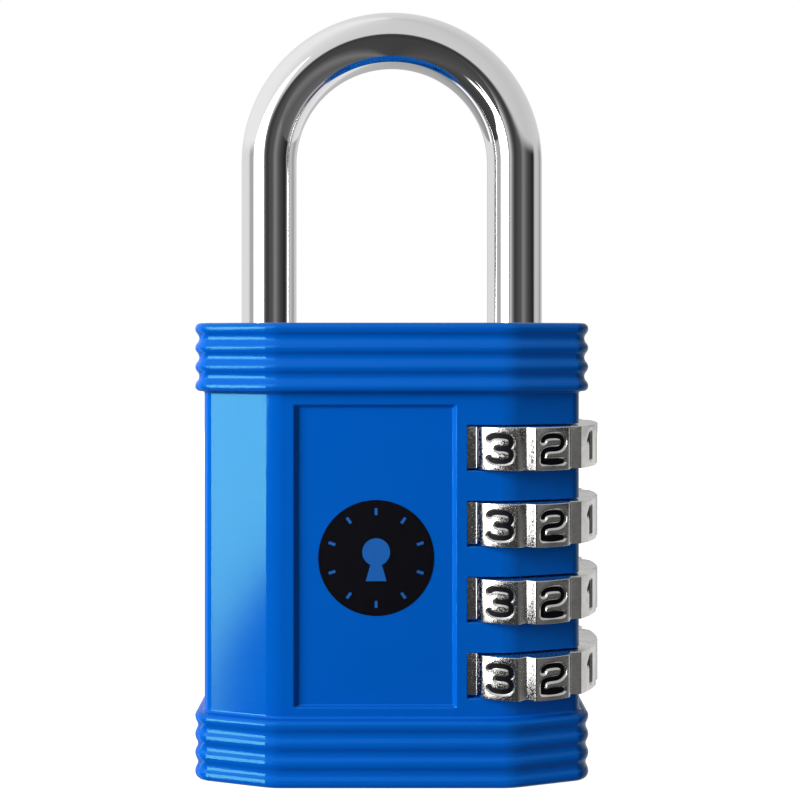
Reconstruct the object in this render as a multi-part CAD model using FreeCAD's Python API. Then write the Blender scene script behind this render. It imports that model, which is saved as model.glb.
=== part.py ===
"""Four-dial resettable combination padlock, built as separate pieces.

Millimetres. +Z runs up through the shackle, +X points to the side that carries the
dials and -Y is the front. The origin is the middle of the base face. The long leg of
the shackle stands on the dial axis and runs down through four sleeves, one in each
dial. Every sleeve has a keyway, and the shackle lifts by one dial pitch when the four
keyways face the four lugs of the leg.
"""
import FreeCAD
import Part
import math
import os

# Body casting: a rounded octagon with a ribbed band at each end
BODY_HEIGHT = 47.8
BODY_HALF_WIDTH = 19.8
BODY_HALF_DEPTH = 7.6
FRONT_FLAT_HALF = 12.2
CHAMFER_SLOPE = math.radians(15.5)
FRONT_EDGE_RADIUS = 6.0
SIDE_EDGE_RADIUS = 1.2

RIB_COUNT = 4
RIB_CREST = 1.0
FIRST_CREST = 0.6
TOP_RIBS = (2.0, 0.58)
BOTTOM_RIBS = (1.94, 0.72)
BAND_EDGE_RADIUS = 0.55
BAND_STEP_RADIUS = 0.5
BAND_STEP_RISE = 0.05
BAND_FOOT_RADIUS = 0.3
BAND_ROOT = 0.5

# Shallow panel sunk into the front and the back face
PANEL_LEFT = -10.1
PANEL_RIGHT = 6.65
PANEL_BOTTOM = 7.9
PANEL_TOP = 39.35
PANEL_DEPTH = 0.45
PANEL_WALL = 0.3
PANEL_EDGE_RADIUS = 0.22

# Dials, numbered from the top down
DIAL_COUNT = 4
DIGITS = 10
DIAL_PITCH = 7.84
TOP_DIAL_Z = 34.87
DIAL_RADIUS = 9.0
DIAL_THICKNESS = 4.45
DIAL_RIM_RADIUS = 0.15
GROOVE_DEPTH = 0.65
GROOVE_HALF_WIDTH = 0.855
GROOVE_TURN = 2.0
POCKET_RADIUS = 9.35
POCKET_HEIGHT = 4.7
WINDOW_EDGE_RADIUS = 0.12

# Shackle: 6 mm rod, legs one dial axis apart from the middle
ROD_RADIUS = 3.0
LEG_X = 13.5
ARCH_Z = 65.45
SHOULDER_Z = 39.5
TOE_Z = 41.2
TOE_CHAMFER = 0.6
CORE_RADIUS = 2.2
LEG_END_Z = 6.5
LEG_BORE_CLEARANCE = 0.15
TOE_SOCKET_RADIUS = 3.2
TOE_SOCKET_Z = 40.2
LEG_HOLE_EDGE_RADIUS = 0.3
LUG_HALF_WIDTH = 0.9
LUG_RISE = 0.3
LUG_HEIGHT = 1.7

# Sleeves: one below another, each as tall as the dial pitch less a running gap
RUNNING_GAP = 0.1
SLEEVE_HEIGHT = DIAL_PITCH - RUNNING_GAP
SLEEVE_RADIUS = 4.2
SLEEVE_TIP_RADIUS = 4.9
SLEEVE_BORE = CORE_RADIUS + RUNNING_GAP
RELIEF_RADIUS = 3.3
RELIEF_HEIGHT = 3.9
KEYWAY_HALF_WIDTH = 1.1
RESET_KEYWAY_DEPTH = 1.5
TOOTH_BAND_Z = 0.45
TOOTH_BAND_HEIGHT = 1.3
SLEEVE_TOOTH_ANGLE = 15.0
SLEEVE_CHAMBER_RADIUS = 5.1
CHAMBER_TOP = 39.3

# Internal spline of a dial, in its upper part only
SPLINE_HEIGHT = 2.0
SPLINE_TIP_RADIUS = 4.35
SPLINE_ROOT_RADIUS = 5.0
SPLINE_RELIEF_RADIUS = 5.1
DIAL_TOOTH_ANGLE = 17.0

# Washers and spring
WASHER_RADIUS = 4.9
WASHER_BORE = RELIEF_RADIUS
TOP_WASHER_THICKNESS = 0.4
THRUST_WASHER_THICKNESS = 0.45
SPRING_WIRE_RADIUS = 0.35
SPRING_RADIUS = 4.5
SPRING_TURNS = 4

# Retaining pin, pressed in across the long leg from the back
PIN_RADIUS = 0.75
PIN_OFFSET = 3.05
PIN_FRONT_Y = -5.5
PIN_BACK_Y = 7.9
PIN_FIT = 0.01
FLAT_DISTANCE = CORE_RADIUS + 0.05
FLAT_MARGIN = 0.3

# Detent leaf springs, behind the dials
LEAF_RADIUS = 10.3
LEAF_THICKNESS = 0.35
LEAF_HEIGHT = 3.0
LEAF_HALF_ANGLE = 32.0
BUMP_DEPTH = 1.7
BUMP_HALF_WIDTH = 1.5
BUMP_TIP_RADIUS = 0.25
LEAF_POCKET_RADIUS = 10.55
LEAF_POCKET_HEIGHT = 3.3
LEAF_POCKET_HALF_ANGLE = 34.0

# Base cover, flush with the base face, and its drive rivets
COVER_THICKNESS = 1.2
COVER_RIM = 0.5
COVER_CLEARANCE = 0.05
RIVET_X = (-15.0, 3.0)
RIVET_RADIUS = 1.0
RIVET_HEAD_RADIUS = 1.8
RIVET_HEAD_HEIGHT = 0.7
RIVET_TOP_Z = 6.3
RIVET_FIT = 0.01

# Index line down the dial side
INDEX_HALF_WIDTH = 0.3
INDEX_DEPTH = 0.3
INDEX_BOTTOM = 8.2
INDEX_TOP = 40.2

OVERCUT = 1.0
SAME_PLACE = 0.001
FRONT_ANGLE = -90.0
LUG_SIDE = 180.0
ARC_QUARTER_FALL = 0.25


def vector(x, y, z):
    return FreeCAD.Vector(x, y, z)


def polar(radius, degrees, z):
    """Point on a circle around the dial axis; 0 degrees is +X."""
    angle = math.radians(degrees)
    return vector(LEG_X + radius * math.cos(angle), radius * math.sin(angle), z)


def axis_cylinder(radius, bottom, top, x=LEG_X):
    return Part.makeCylinder(radius, top - bottom, vector(x, 0, bottom))


def axis_ring(outer, inner, bottom, top):
    return axis_cylinder(outer, bottom, top).cut(axis_cylinder(inner, bottom, top))


def prism(points, height):
    """Solid between a flat polygon and its copy raised by height."""
    wire = Part.makePolygon(points + [points[0]])
    return Part.Face(wire).extrude(vector(0, 0, height))


def sector(inner, outer, middle, width, bottom, height):
    """Piece of a ring around the dial axis, width degrees wide."""
    low = middle - width / 2
    high = middle + width / 2
    outside = Part.Arc(*[polar(outer, a, bottom) for a in (low, middle, high)])
    inside = Part.Arc(*[polar(inner, a, bottom) for a in (high, middle, low)])
    sides = [
        Part.LineSegment(polar(outer, high, bottom), polar(inner, high, bottom)),
        Part.LineSegment(polar(inner, low, bottom), polar(outer, low, bottom)),
    ]
    edges = [outside.toShape(), sides[0].toShape(), inside.toShape(), sides[1].toShape()]
    return Part.Face(Part.Wire(edges)).extrude(vector(0, 0, height))


def rounded_wire(corners):
    """Closed wire through corners given as (point, radius), with tangent arcs."""
    starts = []
    middles = []
    ends = []
    for index, (point, radius) in enumerate(corners):
        before = (corners[index - 1][0] - point).normalize()
        after = (corners[(index + 1) % len(corners)][0] - point).normalize()
        half = before.getAngle(after) / 2
        inward = (before + after).normalize()
        starts.append(point + before * (radius / math.tan(half)))
        ends.append(point + after * (radius / math.tan(half)))
        middles.append(point + inward * (radius / math.sin(half) - radius))
    edges = []
    for index, end in enumerate(ends):
        following = (index + 1) % len(corners)
        edges.append(Part.LineSegment(end, starts[following]).toShape())
        arc = Part.Arc(starts[following], middles[following], ends[following])
        edges.append(arc.toShape())
    return Part.Wire(edges)


def body_outline(z):
    """Rounded octagon of the plain middle of the body."""
    side_half = BODY_HALF_DEPTH - (BODY_HALF_WIDTH - FRONT_FLAT_HALF) * math.tan(CHAMFER_SLOPE)
    quarter = [
        (FRONT_FLAT_HALF, BODY_HALF_DEPTH, FRONT_EDGE_RADIUS),
        (BODY_HALF_WIDTH, side_half, SIDE_EDGE_RADIUS),
    ]
    corners = []
    for x_sign, y_sign in ((-1, -1), (1, -1), (1, 1), (-1, 1)):
        order = quarter if x_sign * y_sign < 0 else quarter[::-1]
        for x, y, radius in order:
            corners.append((vector(x_sign * x, y_sign * y, z), radius))
    return rounded_wire(corners)


def band_profile(pitch, valley_out):
    """Rib outline as edges in (outward, height), height measured from the end face.

    Half way along its length, a shallow arc has fallen a quarter of its full fall.
    """
    middle = (RIB_CREST + valley_out) / 2
    quarter = pitch / 4
    bend = BAND_EDGE_RADIUS * (1 - math.sqrt(0.5))
    edges = [
        ("arc", (RIB_CREST - BAND_EDGE_RADIUS, 0), (RIB_CREST - bend, bend),
         (RIB_CREST, BAND_EDGE_RADIUS)),
        ("line", (RIB_CREST, BAND_EDGE_RADIUS), (RIB_CREST, FIRST_CREST)),
    ]
    rib_flank = (RIB_CREST - middle) * ARC_QUARTER_FALL
    for rib in range(RIB_COUNT - 1):
        crest = FIRST_CREST + rib * pitch
        valley = crest + pitch / 2
        edges.append(("arc", (RIB_CREST, crest), (RIB_CREST - rib_flank, crest + quarter / 2),
                      (middle, crest + quarter)))
        edges.append(("arc", (middle, crest + quarter), (valley_out, valley),
                      (middle, valley + quarter)))
        edges.append(("arc", (middle, valley + quarter),
                      (RIB_CREST - rib_flank, valley + pitch / 2 - quarter / 2),
                      (RIB_CREST, valley + pitch / 2)))
    last = FIRST_CREST + (RIB_COUNT - 1) * pitch
    step = last + BAND_STEP_RISE
    end = step + BAND_STEP_RADIUS
    outer_bend = BAND_STEP_RADIUS * (1 - math.sqrt(0.5))
    foot_bend = BAND_FOOT_RADIUS * (1 - math.sqrt(0.5))
    edges.append(("line", (RIB_CREST, last), (RIB_CREST, step)))
    edges.append(("arc", (RIB_CREST, step), (RIB_CREST - outer_bend, end - outer_bend),
                  (RIB_CREST - BAND_STEP_RADIUS, end)))
    edges.append(("line", (RIB_CREST - BAND_STEP_RADIUS, end), (BAND_FOOT_RADIUS, end)))
    edges.append(("arc", (BAND_FOOT_RADIUS, end), (foot_bend, end + foot_bend),
                  (0, end + BAND_FOOT_RADIUS)))
    edges.append(("line", (0, end + BAND_FOOT_RADIUS), (-BAND_ROOT, end + BAND_FOOT_RADIUS)))
    edges.append(("line", (-BAND_ROOT, end + BAND_FOOT_RADIUS), (-BAND_ROOT, 0)))
    edges.append(("line", (-BAND_ROOT, 0), (RIB_CREST - BAND_EDGE_RADIUS, 0)))
    return edges


def ribbed_band(ribs, face_z, direction):
    """Ribbed ring swept around the body from an end face; direction is +1 up or -1 down."""
    path = body_outline(face_z)
    start = path.OrderedVertexes[0].Point
    edges = []
    for kind, *points in band_profile(*ribs):
        places = [vector(start.x, start.y - out, face_z + direction * up) for out, up in points]
        curve = Part.Arc(*places) if kind == "arc" else Part.LineSegment(*places)
        edges.append(curve.toShape())
    sweep = Part.BRepOffsetAPI.MakePipeShell(path)
    sweep.setBiNormalMode(vector(0, 0, 1))
    sweep.add(Part.Wire(edges))
    sweep.build()
    sweep.makeSolid()
    return sweep.shape()


def panel_cutter(side):
    """Shallow tray with sloping walls; side is -1 for the front and +1 for the back."""
    loops = []
    for depth in (-OVERCUT, PANEL_DEPTH):
        y = side * (BODY_HALF_DEPTH - depth)
        inset = PANEL_WALL * depth / PANEL_DEPTH
        left = PANEL_LEFT + inset
        right = PANEL_RIGHT - inset
        bottom = PANEL_BOTTOM + max(inset, 0)
        top = PANEL_TOP - inset
        corners = [vector(left, y, bottom), vector(right, y, bottom),
                   vector(right, y, top), vector(left, y, top)]
        loops.append(Part.makePolygon(corners + [corners[0]]))
    return Part.makeLoft(loops, True, True)


def dial_z(number):
    return TOP_DIAL_Z - (number - 1) * DIAL_PITCH


def sleeve_bottom(number):
    return dial_z(number) - SLEEVE_HEIGHT / 2


def pin_z():
    lug_top = sleeve_bottom(1) + LUG_RISE + LUG_HEIGHT
    return lug_top + DIAL_PITCH + RUNNING_GAP + PIN_RADIUS


def pin_cylinder(radius, back_y):
    start = vector(LEG_X - PIN_OFFSET, PIN_FRONT_Y, pin_z())
    return Part.makeCylinder(radius, back_y - PIN_FRONT_Y, start, vector(0, 1, 0))


def dial_pocket(number):
    middle = dial_z(number)
    pocket = axis_cylinder(POCKET_RADIUS, middle - POCKET_HEIGHT / 2, middle + POCKET_HEIGHT / 2)
    leaf_pocket = sector(DIAL_RADIUS, LEAF_POCKET_RADIUS, LUG_SIDE, 2 * LEAF_POCKET_HALF_ANGLE,
                         middle - LEAF_POCKET_HEIGHT / 2, LEAF_POCKET_HEIGHT)
    return pocket.fuse(leaf_pocket)


def index_line():
    points = [vector(BODY_HALF_WIDTH + OVERCUT, -INDEX_HALF_WIDTH - OVERCUT, INDEX_BOTTOM),
              vector(BODY_HALF_WIDTH - INDEX_DEPTH, 0, INDEX_BOTTOM),
              vector(BODY_HALF_WIDTH + OVERCUT, INDEX_HALF_WIDTH + OVERCUT, INDEX_BOTTOM)]
    return prism(points, INDEX_TOP - INDEX_BOTTOM)


def same(first, second):
    return abs(first - second) < SAME_PLACE


def panel_edges(body):
    """Edges of both sunk panels: rim, floor and corners."""
    found = []
    for edge in body.Edges:
        points = [vertex.Point for vertex in edge.Vertexes]
        inside = all(
            PANEL_LEFT - SAME_PLACE < point.x < PANEL_RIGHT + SAME_PLACE
            and PANEL_BOTTOM - SAME_PLACE < point.z < PANEL_TOP + SAME_PLACE
            and BODY_HALF_DEPTH - PANEL_DEPTH - SAME_PLACE < abs(point.y)
            for point in points)
        if len(points) > 1 and inside:
            found.append(edge)
    return found


def window_edges(body):
    """Outer edges of the dial windows: above, below and along the pocket wall."""
    found = []
    for edge in body.Edges:
        middle = edge.valueAt((edge.FirstParameter + edge.LastParameter) / 2)
        from_axis = math.hypot(middle.x - LEG_X, middle.y)
        heights = [vertex.Z for vertex in edge.Vertexes]
        for number in range(1, DIAL_COUNT + 1):
            low = dial_z(number) - POCKET_HEIGHT / 2
            high = dial_z(number) + POCKET_HEIGHT / 2
            flat = all(same(z, low) for z in heights) or all(same(z, high) for z in heights)
            outside = SLEEVE_CHAMBER_RADIUS + SAME_PLACE < from_axis < POCKET_RADIUS - SAME_PLACE
            upright = same(min(heights), low) and same(max(heights), high)
            on_wall = same(from_axis, POCKET_RADIUS) and middle.x > PANEL_RIGHT
            if (flat and outside) or (upright and on_wall):
                found.append(edge)
    return found


def leg_hole_edges(body):
    return [edge for edge in body.Edges
            if len(edge.Vertexes) == 1 and same(edge.Vertexes[0].Z, BODY_HEIGHT)]


def body_casting():
    outline = Part.Face(body_outline(0))
    body = outline.extrude(vector(0, 0, BODY_HEIGHT))
    body = body.fuse([ribbed_band(BOTTOM_RIBS, 0, 1), ribbed_band(TOP_RIBS, BODY_HEIGHT, -1)])
    cover_pocket = Part.Face(body_outline(-OVERCUT).makeOffset2D(-COVER_RIM))
    cutters = [
        cover_pocket.extrude(vector(0, 0, OVERCUT + COVER_THICKNESS)),
        axis_cylinder(SLEEVE_CHAMBER_RADIUS, 0, CHAMBER_TOP),
        axis_cylinder(ROD_RADIUS + LEG_BORE_CLEARANCE, CHAMBER_TOP, BODY_HEIGHT + OVERCUT),
        axis_cylinder(TOE_SOCKET_RADIUS, TOE_SOCKET_Z, BODY_HEIGHT + OVERCUT, -LEG_X),
        pin_cylinder(PIN_RADIUS + PIN_FIT, BODY_HALF_DEPTH + RIB_CREST + OVERCUT),
        panel_cutter(-1),
        panel_cutter(1),
        index_line(),
    ]
    cutters += [dial_pocket(number) for number in range(1, DIAL_COUNT + 1)]
    cutters += [axis_cylinder(RIVET_RADIUS + RIVET_FIT, 0, RIVET_TOP_Z, x) for x in RIVET_X]
    body = body.removeSplitter().cut(cutters)
    body = body.makeFillet(PANEL_EDGE_RADIUS, panel_edges(body))
    body = body.makeFillet(WINDOW_EDGE_RADIUS, window_edges(body))
    return body.makeFillet(LEG_HOLE_EDGE_RADIUS, leg_hole_edges(body))


def rivet(x, fit):
    shank = axis_cylinder(RIVET_RADIUS + fit, 0, RIVET_TOP_Z, x)
    head = Part.makeCone(RIVET_HEAD_RADIUS + fit, RIVET_RADIUS + fit, RIVET_HEAD_HEIGHT,
                         vector(x, 0, 0))
    return shank.fuse(head).removeSplitter()


def base_rivets():
    return Part.makeCompound([rivet(x, 0) for x in RIVET_X])


def base_cover():
    outline = body_outline(0).makeOffset2D(-COVER_RIM - COVER_CLEARANCE)
    plate = Part.Face(outline).extrude(vector(0, 0, COVER_THICKNESS))
    return plate.cut([rivet(x, RIVET_FIT) for x in RIVET_X])


def lug(number):
    bottom = sleeve_bottom(number) + LUG_RISE
    block = Part.makeBox(ROD_RADIUS + OVERCUT, 2 * LUG_HALF_WIDTH, LUG_HEIGHT,
                         vector(LEG_X - ROD_RADIUS - OVERCUT, -LUG_HALF_WIDTH, bottom))
    return block.common(axis_cylinder(ROD_RADIUS, bottom, bottom + LUG_HEIGHT))


def shackle():
    section = Part.Face(Part.Wire(Part.makeCircle(ROD_RADIUS, vector(LEG_X, 0, ARCH_Z))))
    arch = section.revolve(vector(0, 0, ARCH_Z), vector(0, -1, 0), 180)
    toe = axis_cylinder(ROD_RADIUS, TOE_Z + TOE_CHAMFER, ARCH_Z, -LEG_X)
    toe_tip = Part.makeCone(ROD_RADIUS - TOE_CHAMFER, ROD_RADIUS, TOE_CHAMFER,
                            vector(-LEG_X, 0, TOE_Z))
    long_leg = axis_cylinder(ROD_RADIUS, SHOULDER_Z, ARCH_Z)
    core = axis_cylinder(CORE_RADIUS, LEG_END_Z, SHOULDER_Z)
    lugs = [lug(number) for number in range(1, DIAL_COUNT + 1)]
    whole = long_leg.fuse([arch, toe, toe_tip, core] + lugs).removeSplitter()
    flat_top = pin_z() + PIN_RADIUS + FLAT_MARGIN
    flat = Part.makeBox(ROD_RADIUS, 2 * ROD_RADIUS, flat_top - SHOULDER_Z,
                        vector(LEG_X - FLAT_DISTANCE - ROD_RADIUS, -ROD_RADIUS, SHOULDER_Z))
    return whole.cut(flat)


def groove_cutter(degrees, bottom, height):
    """V groove across the rim of a dial, its sharp edge towards the axis."""
    reach = GROOVE_DEPTH + OVERCUT / 2
    half = GROOVE_HALF_WIDTH * reach / GROOVE_DEPTH
    spread = math.degrees(math.atan2(half, DIAL_RADIUS + OVERCUT / 2))
    rim = math.hypot(half, DIAL_RADIUS + OVERCUT / 2)
    points = [polar(rim, degrees - spread, bottom), polar(rim, degrees + spread, bottom),
              polar(DIAL_RADIUS - GROOVE_DEPTH, degrees, bottom)]
    return prism(points, height)


def dial(number):
    bottom = dial_z(number) - DIAL_THICKNESS / 2
    top = bottom + DIAL_THICKNESS
    disc = axis_cylinder(DIAL_RADIUS, bottom, top)
    rims = [edge for edge in disc.Edges if len(edge.Vertexes) == 1]
    disc = disc.makeFillet(DIAL_RIM_RADIUS, rims)
    step = 360 / DIGITS
    teeth = [sector(SPLINE_TIP_RADIUS, SPLINE_RELIEF_RADIUS + OVERCUT, FRONT_ANGLE + step * index,
                    DIAL_TOOTH_ANGLE, top - SPLINE_HEIGHT, SPLINE_HEIGHT)
             for index in range(DIGITS)]
    hole = axis_cylinder(SPLINE_ROOT_RADIUS, top - SPLINE_HEIGHT, top).cut(teeth)
    grooves = [groove_cutter(FRONT_ANGLE + GROOVE_TURN + step * index, bottom, DIAL_THICKNESS)
               for index in range(DIGITS)]
    relief = axis_cylinder(SPLINE_RELIEF_RADIUS, bottom, top - SPLINE_HEIGHT)
    return disc.cut(grooves + [hole, relief])


def keyway(side, bottom, height):
    """Slot from the sleeve bore out to the relief radius; side is -1 or +1 along X."""
    low_x = LEG_X - RELIEF_RADIUS if side < 0 else LEG_X
    block = Part.makeBox(RELIEF_RADIUS, 2 * KEYWAY_HALF_WIDTH, height,
                         vector(low_x, -KEYWAY_HALF_WIDTH, bottom))
    return block.common(axis_cylinder(RELIEF_RADIUS, bottom, bottom + height))


def sleeve(number):
    bottom = sleeve_bottom(number)
    top = bottom + SLEEVE_HEIGHT
    step = 360 / DIGITS
    tooth_bottom = dial_z(number) + TOOTH_BAND_Z
    teeth = [sector(SLEEVE_RADIUS - OVERCUT / 2, SLEEVE_TIP_RADIUS,
                    FRONT_ANGLE + step * (index + 0.5), SLEEVE_TOOTH_ANGLE,
                    tooth_bottom, TOOTH_BAND_HEIGHT)
             for index in range(DIGITS)]
    tube = axis_cylinder(SLEEVE_RADIUS, bottom, top).fuse(teeth)
    cutters = [
        axis_cylinder(SLEEVE_BORE, bottom, top),
        axis_cylinder(RELIEF_RADIUS, bottom, bottom + RELIEF_HEIGHT),
        keyway(-1, bottom + RELIEF_HEIGHT, SLEEVE_HEIGHT - RELIEF_HEIGHT),
        keyway(1, top - RESET_KEYWAY_DEPTH, RESET_KEYWAY_DEPTH),
    ]
    return tube.cut(cutters).removeSplitter()


def bump(degrees, bottom):
    """Folded finger of a detent leaf that drops into a dial groove."""
    outer = LEAF_RADIUS + LEAF_THICKNESS / 2
    inner = LEAF_RADIUS - LEAF_THICKNESS / 2
    slant = math.hypot(BUMP_DEPTH, BUMP_HALF_WIDTH)
    gap = LEAF_THICKNESS * slant / BUMP_DEPTH
    lift = LEAF_THICKNESS * slant / BUMP_HALF_WIDTH
    profile = [(outer, BUMP_HALF_WIDTH), (inner, BUMP_HALF_WIDTH),
               (LEAF_RADIUS - BUMP_DEPTH, 0),
               (inner, -BUMP_HALF_WIDTH), (outer, -BUMP_HALF_WIDTH),
               (outer, gap - BUMP_HALF_WIDTH), (LEAF_RADIUS - BUMP_DEPTH + lift, 0),
               (outer, BUMP_HALF_WIDTH - gap)]
    points = []
    for radius, across in profile:
        points.append(polar(radius, degrees + math.degrees(across / radius), bottom))
    finger = prism(points, LEAF_HEIGHT)
    tip = polar(LEAF_RADIUS - BUMP_DEPTH, degrees, bottom)
    edges = [edge for edge in finger.Edges
             if all(math.hypot(v.X - tip.x, v.Y - tip.y) < LEAF_THICKNESS / 2
                    for v in edge.Vertexes)]
    return finger.makeFillet(BUMP_TIP_RADIUS, edges)


def detent_leaf(number):
    bottom = dial_z(number) - LEAF_HEIGHT / 2
    outer = LEAF_RADIUS + LEAF_THICKNESS / 2
    inner = LEAF_RADIUS - LEAF_THICKNESS / 2
    half_step = 180 / DIGITS
    bump_half_angle = math.degrees(BUMP_HALF_WIDTH / outer)
    middle = LUG_SIDE + GROOVE_TURN
    low_end = LUG_SIDE - LEAF_HALF_ANGLE
    high_end = LUG_SIDE + LEAF_HALF_ANGLE
    low_bump = middle - half_step - bump_half_angle
    high_bump = middle + half_step + bump_half_angle
    strips = [
        sector(inner, outer, middle, 2 * (half_step - bump_half_angle), bottom, LEAF_HEIGHT),
        sector(inner, outer, (low_end + low_bump) / 2, low_bump - low_end, bottom, LEAF_HEIGHT),
        sector(inner, outer, (high_end + high_bump) / 2, high_end - high_bump, bottom,
               LEAF_HEIGHT),
    ]
    bumps = [bump(middle - half_step, bottom), bump(middle + half_step, bottom)]
    return bumps[0].fuse(bumps[1:] + strips).removeSplitter()


def retaining_pin():
    return pin_cylinder(PIN_RADIUS, PIN_BACK_Y)


def top_washer():
    return axis_ring(WASHER_RADIUS, WASHER_BORE, CHAMBER_TOP - TOP_WASHER_THICKNESS, CHAMBER_TOP)


def thrust_washer_top():
    return sleeve_bottom(DIAL_COUNT) - RUNNING_GAP


def thrust_washer():
    top = thrust_washer_top()
    return axis_ring(WASHER_RADIUS, WASHER_BORE, top - THRUST_WASHER_THICKNESS, top)


def sleeve_spring():
    bottom = COVER_THICKNESS + SPRING_WIRE_RADIUS
    top = thrust_washer_top() - THRUST_WASHER_THICKNESS - SPRING_WIRE_RADIUS
    helix = Part.makeHelix((top - bottom) / SPRING_TURNS, top - bottom, SPRING_RADIUS)
    helix.translate(vector(LEG_X, 0, bottom))
    start = vector(LEG_X + SPRING_RADIUS, 0, bottom)
    section = Part.Wire(Part.makeCircle(SPRING_WIRE_RADIUS, start, vector(0, 1, 0)))
    return Part.Wire(helix.Edges).makePipeShell([section], True, True)


def pieces():
    """Every node of the padlock, by name."""
    nodes = {
        "body_casting": body_casting(),
        "base_cover": base_cover(),
        "base_rivets": base_rivets(),
        "shackle": shackle(),
        "retaining_pin": retaining_pin(),
        "top_washer": top_washer(),
        "thrust_washer": thrust_washer(),
        "sleeve_spring": sleeve_spring(),
    }
    for number in range(1, DIAL_COUNT + 1):
        nodes[f"dial_{number}"] = dial(number)
        nodes[f"sleeve_{number}"] = sleeve(number)
        nodes[f"detent_leaf_{number}"] = detent_leaf(number)
    return nodes


def main():
    os.makedirs("parts", exist_ok=True)
    for name, shape in pieces().items():
        if not shape.isValid() or not shape.Solids:
            raise RuntimeError(f"{name} is not a valid solid")
        shape.exportStep(os.path.join("parts", f"{name}.step"))
        print(f"{name}: {len(shape.Solids)} solid, {shape.Volume:.1f} mm3")


main()
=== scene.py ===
"""Looks of a four-dial combination padlock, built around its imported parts.

Metres, +Z up, -Y is the front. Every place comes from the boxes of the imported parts,
and the sizes that a user would change are in the two property groups.
"""
import math

import bmesh
import bpy
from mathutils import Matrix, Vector


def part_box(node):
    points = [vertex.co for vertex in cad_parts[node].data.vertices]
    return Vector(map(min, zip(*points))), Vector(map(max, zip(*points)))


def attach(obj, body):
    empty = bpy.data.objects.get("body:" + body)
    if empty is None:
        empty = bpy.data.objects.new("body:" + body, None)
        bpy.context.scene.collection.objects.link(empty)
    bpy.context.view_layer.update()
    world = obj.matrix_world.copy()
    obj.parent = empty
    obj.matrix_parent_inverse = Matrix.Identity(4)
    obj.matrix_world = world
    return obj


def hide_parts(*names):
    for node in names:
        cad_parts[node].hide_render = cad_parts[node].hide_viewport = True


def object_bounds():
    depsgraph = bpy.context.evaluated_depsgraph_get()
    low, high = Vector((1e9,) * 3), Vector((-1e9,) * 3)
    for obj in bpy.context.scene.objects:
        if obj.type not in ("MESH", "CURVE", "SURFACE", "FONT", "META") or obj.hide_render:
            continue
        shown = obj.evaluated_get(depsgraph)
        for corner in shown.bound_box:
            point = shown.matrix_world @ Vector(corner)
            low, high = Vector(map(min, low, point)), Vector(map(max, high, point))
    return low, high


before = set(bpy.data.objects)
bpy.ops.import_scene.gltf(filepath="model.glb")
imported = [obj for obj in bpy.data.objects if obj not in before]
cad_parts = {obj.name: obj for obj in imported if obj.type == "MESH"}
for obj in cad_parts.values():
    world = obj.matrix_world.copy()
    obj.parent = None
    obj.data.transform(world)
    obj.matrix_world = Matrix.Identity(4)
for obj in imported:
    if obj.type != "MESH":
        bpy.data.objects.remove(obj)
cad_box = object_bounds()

bl_info = {
    "name": "Combination Padlock",
    "version": (1, 0, 0),
    "blender": (4, 5, 0),
    "location": "View3D > Sidebar > Padlock",
    "description": "Builds the dials, shackle, badge, finishes and studio of a padlock",
    "category": "Object",
}

MM = 0.001
DIALS = ("dial_1", "dial_2", "dial_3", "dial_4")
SLEEVES = ("sleeve_1", "sleeve_2", "sleeve_3", "sleeve_4")
LEAVES = ("detent_leaf_1", "detent_leaf_2", "detent_leaf_3", "detent_leaf_4")
DIGIT_COUNT = 10
DIGIT_STEP = 2 * math.pi / DIGIT_COUNT
DIAL_SHARP = math.radians(25)
DIAL_SIDE_STEP = math.radians(1.0)
SHACKLE_SHARP = math.radians(30)
TOOTH_HALF_ANGLE = math.radians(8.5)
TOOTH_CORNER = math.radians(0.05)
QUARTER = math.pi / 2
BOWL_SQUARENESS = 0.74
ROUND_STEPS = 360
ROD_SIDES = 96
BOW_STEPS = 120
PIN_CLEARANCE = 0.05 * MM
PIN_HEADROOM = 0.3 * MM
FLOOR_GAP = 0.02 * MM
FLOOR_RADIUS = 3.0
FLOOR_GLOW = 1.0

# signs of the badge, as shares of its radius
KEYHOLE_HEAD = 0.24
KEYHOLE_NECK = 0.1
KEYHOLE_FOOT = 0.18
KEYHOLE_DROP = 0.5
KEYHOLE_RISE = 0.1
TICK_HALF_WIDTH = 0.025
TICK_INNER = 0.74
TICK_OUTER = 0.86

# brightness round the studio, by degrees to the left of the front
WALLS = ((-180, 0.5), (-150, 0.75), (-125, 0.37), (-110, 0.6), (-95, 0.67), (-87, 0.55),
         (-80, 0.03), (-72, 0.025), (-54, 0.07), (-45, 0.12), (-31, 0.26), (-20, 0.1), (-10, 0.085),
         (2, 0.045), (9, 0.1), (15, 0.28), (22, 0.7), (30, 0.3), (34, 0.03), (60, 0.03), (64, 0.5),
         (75, 0.46), (81, 0.55), (90, 0.88), (150, 0.85), (180, 0.5))
CEILING = ((-180, 0.8), (-60, 0.66), (0, 0.74), (60, 1.0), (120, 1.0), (180, 0.8))
TABLE = ((-180, 0.5), (-150, 0.6), (-135, 0.95), (-92, 0.8), (-75, 0.15), (-45, 0.12),
         (-25, 0.2), (-10, 0.07), (5, 0.06), (36, 0.1), (66, 0.06), (88, 0.06), (92, 1.5),
         (108, 1.5), (112, 0.3), (140, 0.45), (180, 0.5))
AMBIENT = 0.105
SOFT_BOX = 13.5

# area lights: place, target, size and power; a target of None is the middle of the lock
KEY_LIGHT = ((-0.33, -0.19, 0.17), None, (0.2, 0.24), 2.45)
FILL_LIGHT = ((0.05, 0.42, 0.16), None, (0.3, 0.24), 1.5)
SHACKLE_CARD = ((-0.1225, -0.093, 0.086), (-0.156, 0.084, 0.086), (0.18, 0.076), 0.08)
CAMERA_PLACE = (0.0, -0.120, 0.0455)
CAMERA_LENS = 49.05
CAMERA_SHIFT = (0.0103, -0.0688)


# ---------------------------------------------------------------- sizes and colours

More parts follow.
